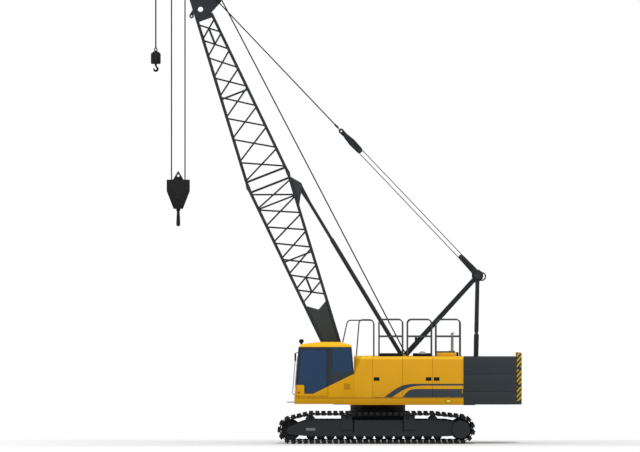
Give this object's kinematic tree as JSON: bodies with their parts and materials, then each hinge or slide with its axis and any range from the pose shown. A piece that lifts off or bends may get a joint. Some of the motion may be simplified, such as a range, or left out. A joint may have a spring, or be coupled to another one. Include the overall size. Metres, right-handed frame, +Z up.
{
  "type": "crawler crane",
  "caption": "Crawler crane with a lattice boom, hanging hooks, stayed gantry, side cab, machinery houses and a heavy rear counterweight on two tracks.",
  "frame": {"origin": "on the ground under the slewing axis", "axes": "+X to the rear of the crane, +Y to its right side, +Z up; the boom points to -X"},
  "size_m": [10.4265, 4.3, 14.7053],
  "materials": {
    "yellow_paint": "satin",
    "frame_paint": "satin",
    "dark_paint": "satin",
    "black_paint": "satin",
    "counterweight_paint": "satin",
    "engine_paint": "satin",
    "track_steel": "matte",
    "wire_rope": "satin",
    "bright_steel": "satin",
    "window_glass": "gloss",
    "seat_fabric": "matte",
    "console_plastic": "matte"
  },
  "bodies": {
    "undercarriage": {"carbody": "frame_paint", "track_frame_left": "frame_paint", "track_frame_right": "frame_paint", "track_left": "track_steel", "track_right": "track_steel", "track_rollers": "track_steel", "idler_wheels": "track_steel", "drive_tumblers": "track_steel", "lower_ring": "black_paint"},
    "superstructure": {"slew_drum": "black_paint", "revolving_frame": "yellow_paint", "house_left": "yellow_paint", "house_right": "yellow_paint", "engine_block": "engine_paint", "counterweight_base": "counterweight_paint", "counterweight_middle": "counterweight_paint", "counterweight_top": "counterweight_paint", "gantry": "dark_paint", "gantry_rear_links": "dark_paint", "cab_shell": "yellow_paint", "cab_glass": "window_glass", "operator_seat": "seat_fabric", "control_console": "console_plastic", "handrails": "dark_paint", "roof_hoods": "yellow_paint", "walkway_strips": "black_paint", "exhaust_pipe": "frame_paint", "cab_fittings": "black_paint"},
    "boom": {"boom_butt": "dark_paint", "boom_top": "dark_paint", "boom_sheaves": "black_paint"},
    "main_falls": {"main_rope_falls": "wire_rope"},
    "main_block": {"main_hook_block": "black_paint"},
    "main_hook": {"main_hook": "black_paint"},
    "auxiliary_falls": {"auxiliary_rope_fall": "wire_rope"},
    "auxiliary_ball": {"auxiliary_hook_ball": "black_paint"},
    "luff_bridle": {"lower_bail": "black_paint"},
    "floating_bail": {"floating_bail": "black_paint", "pendants": "wire_rope"},
    "backstop_tubes": {"backstop_tubes": "dark_paint"},
    "backstop_rods": {"backstop_rods": "bright_steel"},
    "cab_door": {"cab_door": "yellow_paint", "cab_door_glass": "window_glass"},
    "main_winch": {"main_winch_drum": "black_paint"},
    "auxiliary_winch": {"auxiliary_winch_drum": "black_paint"},
    "boom_winch": {"boom_winch_drum": "black_paint"},
    "door_left_front": {"door_left_front": "yellow_paint"},
    "door_left_middle": {"door_left_middle": "yellow_paint"},
    "door_left_rear": {"door_left_rear": "yellow_paint"},
    "door_right_front": {"door_right_front": "yellow_paint"},
    "door_right_middle": {"door_right_middle": "yellow_paint"},
    "door_right_rear": {"door_right_rear": "yellow_paint"}
  },
  "joints": [
    {"name": "slew", "type": "hinge", "parent": "undercarriage", "child": "superstructure", "pos_m": [0, 0, 0.985], "axis": [0, 0, 1], "continuous": true},
    {"name": "boom_luff", "type": "hinge", "parent": "superstructure", "child": "boom", "pos_m": [-0.895, 0, 1.773], "axis": [0, 1, 0], "range_deg": [-38.7, 11.3]},
    {"name": "main_falls_hang", "type": "hinge", "parent": "boom", "child": "main_falls", "pos_m": [-5.61727, 0, 13.88499], "axis": [0, 1, 0], "range_deg": [-11.4, 38.8]},
    {"name": "main_hoist", "type": "slide", "parent": "main_falls", "child": "main_block", "axis": [0, 0, -1], "range_m": [-4.6, 6], "deforming": ["main_rope_falls"]},
    {"name": "main_hook_swivel", "type": "hinge", "parent": "main_block", "child": "main_hook", "pos_m": [-5.61727, 0, 6.59], "axis": [0, 0, 1], "continuous": true},
    {"name": "auxiliary_falls_hang", "type": "hinge", "parent": "boom", "child": "auxiliary_falls", "pos_m": [-6.05946, 0, 14.4961], "axis": [0, 1, 0], "range_deg": [-11.4, 38.8]},
    {"name": "auxiliary_hoist", "type": "slide", "parent": "auxiliary_falls", "child": "auxiliary_ball", "axis": [0, 0, -1], "range_m": [-2, 10], "deforming": ["auxiliary_rope_fall"]},
    {"name": "bridle_swing", "type": "hinge", "parent": "superstructure", "child": "luff_bridle", "pos_m": [2.691, 0, 4.87], "axis": [0, 1, 0], "range_deg": [-34.93, 10.27]},
    {"name": "bridle_reach", "type": "slide", "parent": "luff_bridle", "child": "floating_bail", "axis": [-0.6894, 0, 0.7244], "range_m": [-0.906, 3.098]},
    {"name": "backstop_swing", "type": "hinge", "parent": "superstructure", "child": "backstop_tubes", "pos_m": [0.709, 0, 2.4], "axis": [0, 1, 0], "range_deg": [-34.74, 10.21]},
    {"name": "backstop_reach", "type": "slide", "parent": "backstop_tubes", "child": "backstop_rods", "axis": [-0.5161, 0, 0.8565], "range_m": [-0.3127, 1.0662]},
    {"name": "cab_door_hinge", "type": "hinge", "parent": "superstructure", "child": "cab_door", "pos_m": [-1.405, -1.65, 2], "axis": [0, 0, 1], "range_deg": [0, 85]},
    {"name": "main_winch_spin", "type": "hinge", "parent": "superstructure", "child": "main_winch", "pos_m": [0.78, 0, 1.7], "axis": [0, 1, 0], "continuous": true},
    {"name": "auxiliary_winch_spin", "type": "hinge", "parent": "superstructure", "child": "auxiliary_winch", "pos_m": [1.52, 0, 1.64], "axis": [0, 1, 0], "continuous": true},
    {"name": "boom_winch_spin", "type": "hinge", "parent": "superstructure", "child": "boom_winch", "pos_m": [2.18, 0, 1.64], "axis": [0, 1, 0], "continuous": true},
    {"name": "door_left_front_hinge", "type": "hinge", "parent": "superstructure", "child": "door_left_front", "pos_m": [0.687, -1.65, 1.861], "axis": [0, 0, 1], "range_deg": [0, 80]},
    {"name": "door_left_middle_hinge", "type": "hinge", "parent": "superstructure", "child": "door_left_middle", "pos_m": [0.693, -1.65, 1.861], "axis": [0, 0, -1], "range_deg": [0, 80]},
    {"name": "door_left_rear_hinge", "type": "hinge", "parent": "superstructure", "child": "door_left_rear", "pos_m": [2.366, -1.65, 1.861], "axis": [0, 0, 1], "range_deg": [0, 80]},
    {"name": "door_right_front_hinge", "type": "hinge", "parent": "superstructure", "child": "door_right_front", "pos_m": [0.687, 1.65, 1.861], "axis": [0, 0, -1], "range_deg": [0, 80]},
    {"name": "door_right_middle_hinge", "type": "hinge", "parent": "superstructure", "child": "door_right_middle", "pos_m": [0.693, 1.65, 1.861], "axis": [0, 0, 1], "range_deg": [0, 80]},
    {"name": "door_right_rear_hinge", "type": "hinge", "parent": "superstructure", "child": "door_right_rear", "pos_m": [2.366, 1.65, 1.861], "axis": [0, 0, -1], "range_deg": [0, 80]}
  ],
  "couplings": [
    {"joint": "main_falls_hang", "follows": "boom_luff", "ratio": -1},
    {"joint": "auxiliary_falls_hang", "follows": "boom_luff", "ratio": -1},
    {"joint": "bridle_swing", "follows": "boom_luff", "ratio": 0.9},
    {"joint": "bridle_reach", "follows": "boom_luff", "m_per_rad": -4.5837},
    {"joint": "backstop_swing", "follows": "boom_luff", "ratio": 0.895},
    {"joint": "backstop_reach", "follows": "boom_luff", "m_per_rad": -1.5756}
  ]
}
